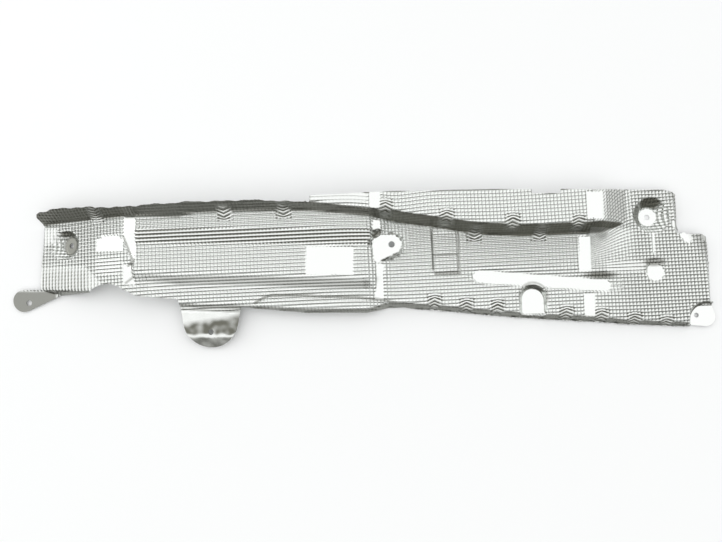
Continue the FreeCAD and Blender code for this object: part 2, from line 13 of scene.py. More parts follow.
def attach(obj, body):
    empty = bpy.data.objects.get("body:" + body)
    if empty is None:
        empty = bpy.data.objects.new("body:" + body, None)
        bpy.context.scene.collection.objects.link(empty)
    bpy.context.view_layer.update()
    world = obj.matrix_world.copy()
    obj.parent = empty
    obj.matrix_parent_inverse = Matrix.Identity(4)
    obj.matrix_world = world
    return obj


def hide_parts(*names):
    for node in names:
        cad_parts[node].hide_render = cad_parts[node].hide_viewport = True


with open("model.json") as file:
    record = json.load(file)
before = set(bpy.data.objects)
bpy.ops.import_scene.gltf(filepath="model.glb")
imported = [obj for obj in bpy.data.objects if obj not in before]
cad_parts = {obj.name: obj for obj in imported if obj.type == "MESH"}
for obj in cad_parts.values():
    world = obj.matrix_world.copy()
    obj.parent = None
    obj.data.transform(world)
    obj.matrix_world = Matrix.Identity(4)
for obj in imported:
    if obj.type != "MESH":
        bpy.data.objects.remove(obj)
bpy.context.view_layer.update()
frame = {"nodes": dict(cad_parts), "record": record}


# Blank
# The whole shield is one blank of soft aluminium about a millimetre thick, rolled with a
# fine square embossing and pressed in one stroke. The pressed form is laid out flat here,
# as the blank was, so that the embossing later runs along the bends as on the real sheet.

mm_per_m = 1000
roll_turn = math.radians(2.7)
same_point = 2e-6
well_clear = 200

pressed_form = bmesh.new()
pressed_form.from_mesh(frame["nodes"]["heat_shield"].data)
bmesh.ops.remove_doubles(pressed_form, verts=pressed_form.verts, dist=same_point)
bmesh.ops.scale(pressed_form, vec=(mm_per_m, mm_per_m, mm_per_m), verts=pressed_form.verts)
pressed_form.normal_update()
pressed_tree = BVHTree.FromBMesh(pressed_form)


def height_from_above(x, y):
    """Height of the upper face in millimetres, or nan beside the sheet."""
    hit = pressed_tree.ray_cast(Vector((x, y, well_clear)), Vector((0, 0, -1)))[0]
    return math.nan if hit is None else hit.z


def height_from_below(x, y):
    """Height of the lower face in millimetres, or nan beside the sheet."""
    hit = pressed_tree.ray_cast(Vector((x, y, -well_clear)), Vector((0, 0, 1)))[0]
    return math.nan if hit is None else hit.z


# Heights on a plain grid, carried on past the edges, with seats and darts evened out
column_gap = 3.0
columns = numpy.arange(-510, 510.1, column_gap)
rows = numpy.arange(-130, 130.1, 1.0)
heights = numpy.array([[height_from_above(x, y) for y in rows] for x in columns])
for column in heights:
    known = ~numpy.isnan(column)
    if known.any():
        column[:] = numpy.interp(rows, rows[known], column[known])
reached = numpy.flatnonzero(~numpy.isnan(heights[:, 0]))
heights[: reached[0]] = heights[reached[0]]
heights[reached[-1] + 1 :] = heights[reached[-1]]
half_window = 13
beside = numpy.pad(heights, ((half_window, half_window), (0, 0)), mode="edge")
windows = numpy.lib.stride_tricks.sliding_window_view(beside, 2 * half_window + 1, axis=0)
main_form = numpy.median(windows, axis=2)

# Length of sheet along each column, counted from the middle line
steepest = 2.0
slope = numpy.clip(numpy.gradient(main_form, rows, axis=1), -steepest, steepest)
stretch = numpy.sqrt(1 + slope**2)
run = numpy.zeros_like(stretch)
run[:, 1:] = numpy.cumsum((stretch[:, 1:] + stretch[:, :-1]) / 2, axis=1)
run -= run[:, [len(rows) // 2]]
evening_reach, evening_spread = 24, 8.0
evening = numpy.exp(-0.5 * (numpy.arange(-evening_reach, evening_reach + 1) / evening_spread) ** 2)
evening /= evening.sum()
beside = numpy.pad(run, ((evening_reach, evening_reach), (0, 0)), mode="edge")
run = sum(w * beside[i : i + len(columns)] for i, w in enumerate(evening))


def run_along(x, y):
    """Length of sheet from the middle line to a place on the pressed form."""
    i = numpy.clip((x - columns[0]) / column_gap, 0, len(columns) - 1.001)
    j = numpy.clip(y - rows[0], 0, len(rows) - 1.001)
    i0, j0 = i.astype(int), j.astype(int)
    p, q = i - i0, j - j0
    near = run[i0, j0] * (1 - q) + run[i0, j0 + 1] * q
    far = run[i0 + 1, j0] * (1 - q) + run[i0 + 1, j0 + 1] * q
    return near * (1 - p) + far * p


def blank_place(x, y):
    """Place on the flat blank, along and across the rolling, of a place on the pressed form."""
    along = run_along(x, y)
    turned = numpy.cos(roll_turn), numpy.sin(roll_turn)
    return x * turned[0] + along * turned[1], along * turned[0] - x * turned[1]


def pressed_place(u, v):
    """Place on the pressed form of a place on the flat blank, found by halving."""
    x = u * math.cos(roll_turn) - v * math.sin(roll_turn)
    along = u * math.sin(roll_turn) + v * math.cos(roll_turn)
    low, high = numpy.full_like(x, rows[0] + 1), numpy.full_like(x, rows[-1] - 1)
    for halving in range(24):
        middle = (low + high) / 2
        short = run_along(x, middle) < along
        low, high = numpy.where(short, middle, low), numpy.where(short, high, middle)
    return x, (low + high) / 2


# Trimmed edges and holes
# The blank is cropped and pierced with plain vertical cuts. Each cut edge is followed round
# on the pressed form, and the six bolt holes are made truly round about their own axes.

gauge = 1.0
rim_gap = 1.3
hole_corners = 28
bolt_holes = []
for mount in frame["record"]["mounts"]:
    bolt_holes.append((Vector(mount["pos_m"]) * mm_per_m, Vector(mount["axis"]), mount["dims"]["r_mm"]))


def off_axis(point, centre, axis):
    away = point - centre
    return (away - axis * away.dot(axis)).length


def is_hole_wall(face):
    """Whether a face of the pressed form is part of the wall of a bolt hole."""
    near_centre, square_to_axis, wall_slack = 1.5, 0.3, 0.3
    middle = face.calc_center_median()
    for centre, axis, radius in bolt_holes:
        close = (middle - centre).length < radius + near_centre
        faces_axis = abs(face.normal.dot(axis)) < square_to_axis
        if close and faces_axis and off_axis(middle, centre, axis) < radius + wall_slack:
            return True
    return False


least_rise, fewest_corners = 0.05, 5
upper_faces = {f.index for f in pressed_form.faces if f.normal.z > least_rise and not is_hole_wall(f)}
next_on_rim = {}
for face in pressed_form.faces:
    if face.index in upper_faces:
        for corner in face.loops:
            beyond = [f.index for f in corner.edge.link_faces if f is not face]
            if not any(index in upper_faces for index in beyond):
                next_on_rim[corner.vert] = corner.link_loop_next.vert

rims = []
while next_on_rim:
    start, here = next_on_rim.popitem()
    rim = [start.co.copy()]
    while here is not start and here in next_on_rim:
        rim.append(here.co.copy())
        here = next_on_rim.pop(here)
    if len(rim) > fewest_corners:
        rims.append(rim)


def round_rim(centre, axis, radius):
    """A round hole's upper edge, laid on the sheet just outside the hole."""
    outside, above = 0.2, 3
    side = axis.cross(Vector((0, 1, 0))).normalized()
    other = axis.cross(side)
    points = []
    for step in range(hole_corners):
        turn = -step * math.tau / hole_corners
        spoke = side * math.cos(turn) + other * math.sin(turn)
        hit = pressed_tree.ray_cast(centre + spoke * (radius + outside) + axis * above, -axis)[0]
        points.append(centre + spoke * radius + axis * (hit - centre).dot(axis))
    return points


def even_rim(rim):
    """The points of a cut edge at even gaps, without doubled points or folds."""
    too_close, no_step, doubled_back = 0.5, 0.02, -0.95
    points = []
    for a, b in zip(rim, rim[1:] + rim[:1]):
        if not points or (a - points[-1]).length > too_close:
            points.append(a)
        pieces = max(1, round((b - a).length / rim_gap))
        points += [a.lerp(b, k / pieces) for k in range(1, pieces)]
    # A step in the sheet doubles the edge back on itself as seen from above: that fold is left out
    k = 0
    while k < len(points):
        into = (points[k] - points[k - 1]).xy
        onward = (points[(k + 1) % len(points)] - points[k]).xy
        still = min(into.length, onward.length) < no_step
        if still or into.normalized().dot(onward.normalized()) < doubled_back:
            del points[k]
            k = max(0, k - 2)
        else:
            k += 1
    return points


outline = even_rim(max(rims, key=len))
# A small relief notch parts the flange from the free wall: its round foot lies within the sheet, and
# the notch is open to the edge above it
notch_place = Vector((-76.5, 87.6, 55))
notch_foot = min(rims, key=lambda rim: (sum(rim, Vector()) / len(rim) - notch_place).length)
notch_middle = sum(notch_foot, Vector()) / len(notch_foot)


def turn_from_right(point):
    return math.atan2(notch_middle.y - point.y, point.x - notch_middle.x)


flange_end, on_flange = -73.9, -73.5
notch = sorted((p for p in notch_foot if turn_from_right(p) > -0.2), key=turn_from_right)
notch_side = [Vector((flange_end, y, height_from_above(on_flange, y))) for y in (92.6, 91.2, 89.9, 88.7)]
mouth = [k for k, p in enumerate(outline) if -79.8 < p.x < -73.6 and p.y > 88]
outline[mouth[0] : mouth[-1] + 1] = notch_side + notch
# The free top of the wall was sheared by hand, and wanders a little
for point in outline:
    if point.x < -80 and point.y > 68:
        x = point.x
        wander = 1.1 + 0.5 * math.sin(x / 7.3) + 0.4 * math.sin(x / 3.1 + 1.0) + 0.6 * math.sin(x / 19.0)
        lowered = height_from_above(x, point.y - wander)
        if not math.isnan(lowered) and lowered < point.z:
            point.y -= wander
            point.z = lowered
# The burr where the front lip runs out at the corner tab is filed off
burr_left, burr_right, burr_back = 457.0, 462.0, -82.2
outline = [p for p in outline if not (burr_left < p.x < burr_right and p.y < burr_back)]
# The turned-down edge at the right end stands on the floor, its upper corner nearly two gauges above
lowest_corner = 1.9 * gauge
for point in outline:
    point.z = max(point.z, lowest_corner)
cut_edges = [(outline, Vector((0, 0, 1)))]
for centre, axis, radius in bolt_holes:
    cut_edges.append((round_rim(centre, axis, radius), axis))


# Smooth places
# The press irons the embossing flat where its punches close hard: the bolt seats and ears,
# the stiffening beads and pads, and three bands where the sheet is drawn over a shoulder.


def box_edge(x, y, left, right, front, back):
    """Distance from the edge of a box, negative inside it, as for the other places below."""
    return numpy.maximum(
        numpy.abs(x - (left + right) / 2) - (right - left) / 2,
        numpy.abs(y - (front + back) / 2) - (back - front) / 2,
    )


def disc_edge(x, y, at_x, at_y, radius):
    return numpy.hypot(x - at_x, y - at_y) - radius


def bead_edge(x, y, from_x, from_y, to_x, to_y, radius):
    length = math.hypot(to_x - from_x, to_y - from_y)
    way = (to_x - from_x) / length, (to_y - from_y) / length
    along = numpy.clip((x - from_x) * way[0] + (y - from_y) * way[1], 0, length)
    return numpy.hypot(x - from_x - along * way[0], y - from_y - along * way[1]) - radius


def oval_edge(x, y, at_x, at_y, half_x, half_y):
    return (numpy.hypot((x - at_x) / half_x, (y - at_y) / half_y) - 1) * min(half_x, half_y)


def smooth_share(x, y):
    """How far the embossing is ironed out, from 0 to 1."""
    fade = 1.6
    left_of_slant = ((-333.5 - x) * 32.9 + (38.7 - y) * 15.9) / 36.5
    places = {
        "left seat": oval_edge(x, y, -419.5, 32.5, 11.0, 14.0),
        "right seat": disc_edge(x, y, 411.0, 75.0, 13.5),
        "lobed pad round its hole": disc_edge(x, y, 38.5, 31.5, 14.0),
        "lower lobe of the pad": bead_edge(x, y, 38.5, 30.0, 21.0, 15.0, 9.5),
        "left side of the pad": box_edge(x, y, 12.5, 30.0, 20.0, 44.0),
        "ear": box_edge(x, y, -505.0, -437.0, -80.0, -31.5),
        "front tab": box_edge(x, y, -260.0, -165.0, -130.0, -60.5),
        "corner tab": box_edge(x, y, 461.0, 505.0, -90.0, -52.5),
        "right corner": oval_edge(x, y, 494.0, 47.0, 13.0, 11.0),
        "left pad": box_edge(x, y, -375.0, -334.0, 22.0, 40.0),
        "back of the left pad": box_edge(x, y, -368.0, -340.0, 22.0, 44.2),
        "left band": numpy.maximum(box_edge(x, y, -334.0, -315.5, 5.0, 70.0), left_of_slant),
        "left band by the lip": box_edge(x, y, -333.0, -318.0, -24.0, 4.0),
        "rectangle on the trough": box_edge(x, y, -80.0, -15.5, -11.0, 27.6),
        "middle band by the wall": box_edge(x, y, 10.5, 22.5, 41.0, 66.0),
        "middle band on the flange": box_edge(x, y, 7.0, 21.0, 78.0, 104.0),
        "middle band by the lip": box_edge(x, y, 15.5, 27.5, -44.5, 6.0),
        "long bead": bead_edge(x, y, 163.0, -12.0, 340.0, -24.5, 9.0),
        "arch of the arched pad": disc_edge(x, y, 238.5, -41.0, 17.5),
        "foot of the arched pad": box_edge(x, y, 219.5, 258.0, -64.0, -41.0),
        "right band": box_edge(x, y, 303.5, 319.8, -5.0, 44.5),
        "right band by the lip": box_edge(x, y, 309.0, 325.0, -68.0, -36.0),
        "right band on the flange": box_edge(x, y, 308.0, 330.0, 66.0, 104.0),
        "rib": bead_edge(x, y, 412.0, 51.0, 412.0, 22.0, 1.2),
        "dimple": disc_edge(x, y, 412.5, -5.0, 13.0),
        "slope by the right step": bead_edge(x, y, 446.0, 64.0, 461.0, 43.0, 6.5),
    }
    return numpy.clip(0.5 - numpy.minimum.reduce(list(places.values())) / fade, 0, 1)


# Darts, creases and dents
# Where the bends take up spare length the rows of bumps are gathered into small darts. The
# sheet also has a sharp tuck by the left pad, a pit by the middle pad and a rippled front tab.

upward_darts = [(29.3, 80.8), (113.3, 68.0), (204.5, 62.6), (296.9, 61.5)]
upward_darts += [(99.3, -47.9), (144.4, -53.2), (187.8, -54.9), (284.8, -63.8)]
upward_darts += [(334.4, -67.3), (381.5, -72.9), (426.5, -77.4)]
downward_darts = [(-373.9, 73.7), (-192.8, 71.9), (-110.9, 75.3), (156.0, 45.8), (247.2, 46.8)]
dart_half_width = 12.0
trough_back = (-318, 12, 30, 53)
trough_front = (-300, 0, -34, -12)
frame_left = (95.7, 54.6, 97.6, -3.8)
frame_right = (132.3, 51.7, 133.4, -2.4)
frame_middle = (98.0, 18.0, 131.0, 18.0)
pad_pit = (14.5, 44.5, 22.5, 48.5)


def well_inside(edge, fade):
    """1 inside a place, falling to 0 at its edge."""
    return numpy.clip(-edge / fade, 0, 1)


def close_by(edge, fade):
    """1 on a place, falling to 0 a little way outside its edge."""
    return numpy.clip(1 - edge / fade, 0, 1)


def gathered(x, y):
    """How far the rows are pulled up, in millimetres, and how far the bumps run into ridges:
    up to 1 for ridges along the shield, down to -1 for ridges across it."""
    dart_half_depth, dart_pull = 9.0, 6.0
    pull, ridge = numpy.zeros_like(x), numpy.zeros_like(x)
    for way, darts in ((1, upward_darts), (-1, downward_darts)):
        for at_x, at_y in darts:
            beside = numpy.clip(1 - numpy.abs(x - at_x) / dart_half_width, 0, 1)
            share = beside * numpy.clip(1.5 - numpy.abs(y - at_y) / dart_half_depth, 0, 1)
            pull += way * dart_pull * share
            ridge = numpy.maximum(ridge, numpy.clip(share * 2.0, 0, 1))
    flange_tip, by_dimple = (-74, 6, 84, 110), (340, 405, -8, 12)
    tab_root, below_left_pad = (-262, -158, -66, -50), (-378, -334, -14, 17)
    for box in (trough_back, flange_tip, trough_front, by_dimple, tab_root, below_left_pad):
        ridge = numpy.maximum(ridge, 0.75 * well_inside(box_edge(x, y, *box), 4.0))
    # where the wall runs out into the ramp the rows fan out and climb towards it
    fan_left, fan_right, fan_back, wall_foot = 317, 390, 50, 56
    from_right = numpy.where(x > fan_left, numpy.clip(fan_right - x, 0, None), 0)
    fanned = numpy.clip(y / fan_back, 0, 1)
    pull -= 0.009 * from_right**2 * fanned
    ridge = numpy.maximum(ridge, 0.75 * fanned * numpy.clip(from_right / 25, 0, 1) * (y < wall_foot))
    # the left panel is drawn the other way, up to a diagonal that runs from the seat to the lip
    seat_front = 20
    before_diagonal = numpy.where(y < seat_front, numpy.clip((-382 - x - y) / 10, 0, 1), 1)
    panel_front, panel_back = (-475, -345, -50, 8), (-475, -430, 27, 65)
    for box in (panel_front, panel_back):
        drawn_across = well_inside(box_edge(x, y, *box), 10.0)
        ridge = numpy.minimum(ridge, 1 - 1.8 * drawn_across * before_diagonal)
    return pull, ridge


def rough_pattern(x, y, grain):
    """Uneven pattern on the tab, about -1 to 1, with lumps of the given size."""
    pattern = numpy.zeros_like(x)
    for i in numpy.flatnonzero((y < -58) & (x < -150) & (x > -280)):
        pattern[i] = noise.noise(Vector((x[i] / grain, y[i] / grain, grain)))
    return pattern


def lip_crease(x, y):
    """Distance from the faint crease that runs along the front lip below the trough."""
    half_width = 0.7
    bends = [(-151.9, -50.1), (-140.8, -43.2), (-128.2, -39.0), (-89.3, -39.7), (-5.6, -42.4)]
    bends += [(29.4, -45.8), (47.8, -50.5), (67.6, -52.6)]
    return numpy.minimum.reduce([bead_edge(x, y, *a, *b, half_width) for a, b in zip(bends, bends[1:])])


def dented(x, y):
    """Rise of the sheet at dents and creases, in millimetres."""
    tuck = -0.9 * close_by(bead_edge(x, y, -334.0, 39.5, -318.0, 6.5, 0.0), 1.8)
    pocket = -1.6 * close_by(oval_edge(x, y, -325.0, 0.5, 3.0, 3.0), 5.0)
    pit = -3.2 * close_by(bead_edge(x, y, *pad_pit, 1.2), 4.0)
    edge_left = -0.9 * close_by(bead_edge(x, y, *frame_left, 0.2), 1.5)
    edge_right = -0.9 * close_by(bead_edge(x, y, *frame_right, 0.2), 1.5)
    edge_middle = -0.7 * close_by(bead_edge(x, y, *frame_middle, 0.2), 1.5)
    on_tab = well_inside(box_edge(x, y, -300.0, -130.0, -140.0, -66.0), 6.0)
    knocks = 0.45 * rough_pattern(x, y, 16.0) + 0.12 * rough_pattern(x, y, 6.0)
    crease = -0.7 * close_by(lip_crease(x, y), 2.5)
    return tuck + pocket + pit + edge_left + edge_right + edge_middle + crease + on_tab * knocks


def valley_shade_share(x, y):
    """How much painted shade lies between the bumps: more at the two ends, in the drawn-out stripes
    and round the darts."""
    overall, dart_half_depth = 0.25, 11.0
    ends = 0.5 * numpy.clip((numpy.abs(x) - 330) / 60, 0, 1)
    stripes = 4.0 * well_inside(box_edge(x, y, *trough_back), 4.0)
    front = 0.5 * well_inside(box_edge(x, y, *trough_front), 4.0)
    panel = 1.2 * well_inside(box_edge(x, y, -475, -382, -50, 1), 10.0)
    darts = numpy.zeros_like(x)
    for at_x, at_y in upward_darts + downward_darts:
        reach = numpy.maximum(numpy.abs(x - at_x) / dart_half_width, numpy.abs(y - at_y) / dart_half_depth)
        darts = numpy.maximum(darts, 5.0 * numpy.clip(2 - 2 * reach, 0, 1))
    return overall + ends + stripes + front + panel + darts


def painted_shade_share(x, y):
    """How much painted shade greys the metal: the ear, the rim of the left seat, a few shaded spots,
    the pressed lines and the tab."""
    ear = 0.80 * well_inside(box_edge(x, y, -520.0, -437.0, -90.0, -31.5), 3.0)
    seat = 0.86 * well_inside(oval_edge(x, y, -419.5, 32.5, 13.0, 16.0), 2.0)
    bead_end = 0.86 * close_by(oval_edge(x, y, 334.0, -10.0, 13.0, 3.0), 4.0)
    wall_end = 0.4 * close_by(oval_edge(x, y, 337.0, 50.0, 5.0, 6.0), 6.0)
    over_dimple = 0.7 * close_by(oval_edge(x, y, 412.5, 9.0, 11.5, 4.5), 3.0)
    pit = 0.95 * close_by(bead_edge(x, y, *pad_pit, 1.8), 1.5)
    right_corner = 0.55 * numpy.clip((x + 0.5 * y - 484.0) / 20.0, 0, 1) * (y > 0)
    arch = 0.6 * close_by(numpy.abs(disc_edge(x, y, 238.5, -41.0, 20.0)), 2.5) * (y > -52)
    # painted shade at the bead end, the wall end, over the dimple, in the pit, at the right corner and
    # round the arch
    shaded_spots = bead_end + wall_end + over_dimple + pit + right_corner + arch
    # painted shade along the pressed lines and creases
    lines = [
        bead_edge(x, y, *frame_left, 0.0),
        bead_edge(x, y, *frame_right, 0.0),
        bead_edge(x, y, *frame_middle, 0.0),
        # front edge of the frame
        bead_edge(x, y, 101.0, -8.6, 134.0, -7.0, 1.2),
        # two lines at the root of the tab
        bead_edge(x, y, -254.0, -54.0, -166.0, -58.0, 0.0),
        bead_edge(x, y, -254.0, -58.6, -166.0, -62.6, 0.0),
        # tuck by the left pad, and the creases at its foot
        bead_edge(x, y, -334.0, 41.0, -318.0, 6.5, 0.0),
        bead_edge(x, y, -318.0, 6.5, -326.0, 1.0, 0.8),
        bead_edge(x, y, -330.0, -23.0, -318.0, -14.0, 0.0),
        lip_crease(x, y),
    ]
    crease_shade = 0.65 * numpy.clip(1.4 - numpy.minimum.reduce(lines) / 1.4, 0, 1)
    # painted shade greys the tab, mottled, but for its root and a bright line across its crease
    wander = 3.0 * rough_pattern(x, y, 13.0)
    white_root = -64.0 + 0.163 * (x + 177.0)
    below_root = numpy.clip((white_root - y + wander) / 8.0, 0, 1)
    upper_grey = below_root * numpy.clip((y + 94.0 - wander) / 2.0, 0, 1)
    lower_grey = numpy.clip((-98.0 - y + wander) / 2.0, 0, 1)
    on_tab = (x > -262) & (x < -165) & (y < -64)
    # uneven mottling of the painted shade on the tab
    shade_mottling = 0.9 + 0.55 * rough_pattern(x, y, 9.0)
    tab = on_tab * (0.1 + 0.9 * upper_grey + 0.4 * lower_grey) * shade_mottling
    return numpy.clip(ear + seat + shaded_spots + crease_shade + tab, 0, 1)


# Upper and lower skins
# The two faces of the sheet, a gauge apart, meshed on rows that follow the embossing, with
# the cut edges closing them all round.

pitch = 5.0


def lay_skin(spacing, rim_loops, height):
    """Points and triangles of one face of the sheet; the points of the cut edges come first."""
    half_length, half_width, bend_reach, clear_of_rim = 516, 200, 1.6, 4
    edge_points = [p for loop in rim_loops for p in loop]
    x = numpy.array([p.x for p in edge_points])
    y = numpy.array([p.y for p in edge_points])
    edge_u, edge_v = blank_place(x, y)
    spots = KDTree(len(edge_u))
    for i, (u, v) in enumerate(zip(edge_u, edge_v)):
        spots.insert((u, v, 0), i)
    spots.balance()
    across, up = numpy.meshgrid(
        numpy.arange(-half_length, half_length, spacing), numpy.arange(-half_width, half_width, spacing)
    )
    across, up = across.ravel(), up.ravel()
    inner_x, inner_y = pressed_place(across, up)
    rim_lines, first = [], 0
    for loop in rim_loops:
        count = len(loop)
        rim_lines += [(first + k, first + (k + 1) % count) for k in range(count)]
        first += count

    def within_rims(at_u, at_v):
        crossings = numpy.zeros(len(at_u), int)
        for a, b in rim_lines:
            if edge_v[a] != edge_v[b]:
                level = (at_v >= min(edge_v[a], edge_v[b])) & (at_v < max(edge_v[a], edge_v[b]))
                share = (at_v - edge_v[a]) / (edge_v[b] - edge_v[a])
                crossings += level & (edge_u[a] + (edge_u[b] - edge_u[a]) * share > at_u)
        return crossings % 2 == 1

    kept, points = [], list(edge_points)
    around = [(dx, dy) for dx in (-bend_reach, 0, bend_reach) for dy in (-bend_reach, 0, bend_reach)]
    for i in numpy.flatnonzero(within_rims(across, up)):
        x, y = inner_x[i], inner_y[i]
        z = height(x, y)
        clear = spots.find((across[i], up[i], 0))[2]
        if not math.isnan(z) and clear > spacing * 0.6:
            if clear > clear_of_rim:
                # the sheet bends round the tool edges rather than folding over them
                z = numpy.nanmean([height(x + dx, y + dy) for dx, dy in around])
            kept.append(i)
            points.append(Vector((x, y, z)))
    u = numpy.concatenate([edge_u, across[kept]])
    v = numpy.concatenate([edge_v, up[kept]])
    flat = [Vector(place) for place in zip(u, v)]
    made = delaunay_2d_cdt(flat, rim_lines, [], 1, 1e-5, True)
    source = numpy.array([origins[0] for origins in made[3]])
    triangles = source[numpy.array(made[2])]
    # A triangle that spans only cut edges may lie in a hole or a bay of the outline
    spans = numpy.flatnonzero((triangles < first).all(axis=1))
    in_sheet = within_rims(u[triangles[spans]].mean(axis=1), v[triangles[spans]].mean(axis=1))
    triangles = numpy.delete(triangles, spans[~in_sheet], axis=0)
    points = numpy.array(points)
    points[:, 2] += dented(points[:, 0], points[:, 1])
    return points, triangles, numpy.stack([u, v], axis=1)


def skin_normals(points, triangles):
    a, b, c = (points[triangles[:, k]] for k in range(3))
    faces = numpy.cross(b - a, c - a)
    normals = numpy.zeros_like(points)
    for k in range(3):
        numpy.add.at(normals, triangles[:, k], faces)
    return normals / numpy.maximum(numpy.linalg.norm(normals, axis=1, keepdims=True), 1e-9)


upper_rims = [points for points, axis in cut_edges]
upper, upper_triangles, upper_blank = lay_skin(pitch / 3, upper_rims, height_from_above)
upper_way = skin_normals(upper, upper_triangles)

least_facing = 0.35
lower_rims, first = [], 0
for points, axis in cut_edges:
    lower_rim = []
    for k, point in enumerate(points):
        facing = max(least_facing, Vector(upper_way[first + k]).dot(axis))
        below = point - axis * (gauge / facing)
        lower_rim.append(Vector((below.x, below.y, max(0.0, below.z))))
    lower_rims.append(lower_rim)
    first += len(points)
lower, lower_triangles, lower_blank = lay_skin(pitch / 2, lower_rims, height_from_below)
lower_way = skin_normals(lower, lower_triangles)

edge_faces, first = [], 0
for points, axis in cut_edges:
    count = len(points)
    for k in range(count):
        here, there = first + k, first + (k + 1) % count
        edge_faces.append((there, here, len(upper) + here, len(upper) + there))
    first += count

sheet_points = numpy.concatenate([upper, lower])
sheet_faces = [tuple(map(int, t)) for t in upper_triangles]
sheet_faces += [tuple(int(k) + len(upper) for k in t[::-1]) for t in lower_triangles]
sheet_faces += edge_faces
sheet_mesh = bpy.data.meshes.new("plain_sheet")
sheet_mesh.from_pydata((sheet_points / mm_per_m).tolist(), [], sheet_faces)
at_x, at_y = sheet_points[:, 0], sheet_points[:, 1]
sheet_way = numpy.concatenate([upper_way, lower_way])

# Where each point lies in the net of bumps, and which way the press raises it
blank_layer = sheet_mesh.attributes.new("blank", "FLOAT_VECTOR", "POINT")
blank_uv = numpy.concatenate([upper_blank, lower_blank])
pull, ridge = gathered(at_x, at_y)
net = numpy.stack([blank_uv[:, 0] / pitch, (blank_uv[:, 1] - pull) / pitch, ridge], axis=1)
blank_layer.data.foreach_set("vector", net.ravel())
way_layer = sheet_mesh.attributes.new("press_way", "FLOAT_VECTOR", "POINT")
way_layer.data.foreach_set("vector", sheet_way.ravel())

# The bumps are flatter on the steep walls, and stand a little higher at the two ends
upright = numpy.clip((0.80 - numpy.abs(sheet_way[:, 2])) / 0.25, 0, 1)
along_ridge = numpy.maximum(ridge, 0)
drawn_flat = 0.1 * along_ridge - 0.1 * numpy.clip((numpy.abs(at_x) - 330) / 60, 0, 1)
smooth_layer = sheet_mesh.attributes.new("ironed", "FLOAT", "POINT")
ironed_share = numpy.maximum(smooth_share(at_x, at_y), 0.7 * upright * (1 - along_ridge))
smooth_layer.data.foreach_set("value", ironed_share + (1 - ironed_share) * drawn_flat)

# Painted shade darkens the slopes that face the front, most of all on the wall, and the slopes facing
# right at the back of the right end
shade_layer = sheet_mesh.attributes.new("painted_shade", "FLOAT", "POINT")
facing_front = numpy.clip((-0.42 - sheet_way[:, 1]) / 0.2, 0, 1)
facing_front *= numpy.interp(at_x, (-340, -300, -60, 60, 300), (0.93, 0.82, 0.85, 0.97, 1.0))
facing_front *= numpy.where(at_y > 0, 1.0, 0.82)
facing_front *= numpy.where(box_edge(at_x, at_y, 10.0, 62.0, 0.0, 48.0) < 0, 0.45, 1.0)
facing_right = numpy.clip((sheet_way[:, 0] - 0.4) / 0.2, 0, 1) * (at_x > 330) * (at_y > 55)
shaded_slopes = numpy.maximum(facing_front * (1 - 0.25 * along_ridge), 0.8 * facing_right)
shade_layer.data.foreach_set("value", numpy.maximum(painted_shade_share(at_x, at_y), shaded_slopes))
# painted shade between the bumps, stronger at the ends, stripes and darts
valley_shade_layer = sheet_mesh.attributes.new("painted_valley_shade", "FLOAT", "POINT")
valley_shade_layer.data.foreach_set("value", valley_shade_share(at_x, at_y))
sheet_mesh.validate()
pressed_form.free()


# Bare aluminium
# Mill-bright aluminium with no paint: the embossed field scatters light, with painted shade between
# the bumps, the ironed places are nearly mirror-like, and painted shade greys some spots and steep slopes.

bright_metal = (0.81, 0.83, 0.81, 1)
# colour of the painted shade
painted_shade_colour = (0.14, 0.14, 0.117, 1)
embossed_roughness, ironed_roughness, dull_roughness = 0.26, 0.16, 0.15
valley_sharpness = 4.0
crisp_height = 0.0016

aluminium = bpy.data.materials.new("embossed_aluminium")
aluminium.use_nodes = True
nodes = aluminium.node_tree.nodes
links = aluminium.node_tree.links
metal = nodes["Principled BSDF"]
metal.inputs["Metallic"].default_value = 1.0
# painted shade on slopes, lines, spots and the tab
painted_shade = nodes.new("ShaderNodeAttribute")
painted_shade.attribute_name = "painted_shade"
tone = nodes.new("ShaderNodeMix")
tone.data_type = "RGBA"
tone.inputs[6].default_value = bright_metal
tone.inputs[7].default_value = painted_shade_colour
links.new(tone.outputs[2], metal.inputs["Base Color"])
ironed = nodes.new("ShaderNodeAttribute")
ironed.attribute_name = "ironed"
gloss = nodes.new("ShaderNodeMapRange")
gloss.inputs["To Min"].default_value = embossed_roughness
gloss.inputs["To Max"].default_value = ironed_roughness
links.new(ironed.outputs["Fac"], gloss.inputs["Value"])
# painted shade in the hollows between the bumps
painted_valley_shade = nodes.new("ShaderNodeAttribute")
painted_valley_shade.attribute_name = "painted_valley_shade"
net_place = nodes.new("ShaderNodeAttribute")
net_place.attribute_name = "blank"
net_parts = nodes.new("ShaderNodeSeparateXYZ")
links.new(net_place.outputs["Vector"], net_parts.inputs[0])


def shade_sum(operation, *values):
    step = nodes.new("ShaderNodeMath")
    step.operation = operation
    for socket, value in zip(step.inputs, values):
        if isinstance(value, (int, float)):
            socket.default_value = value
        else:
            links.new(value, socket)
    return step.outputs[0]


across_net = shade_sum("COSINE", shade_sum("MULTIPLY", net_parts.outputs["X"], math.tau))
ridge_along = shade_sum("MAXIMUM", net_parts.outputs["Z"], 0.0)
across_net = shade_sum("MULTIPLY", across_net, shade_sum("SUBTRACT", 1.0, ridge_along))
along_net = shade_sum("COSINE", shade_sum("MULTIPLY", net_parts.outputs["Y"], math.tau))
ridge_across = shade_sum("MINIMUM", net_parts.outputs["Z"], 0.0)
along_net = shade_sum("MULTIPLY", along_net, shade_sum("ADD", 1.0, ridge_across))
left_raised = shade_sum("SUBTRACT", 1.0, ironed.outputs["Fac"])
crown = shade_sum("MULTIPLY", shade_sum("ADD", across_net, along_net), 0.25)
valley = shade_sum("POWER", shade_sum("SUBTRACT", 0.5, crown), valley_sharpness)
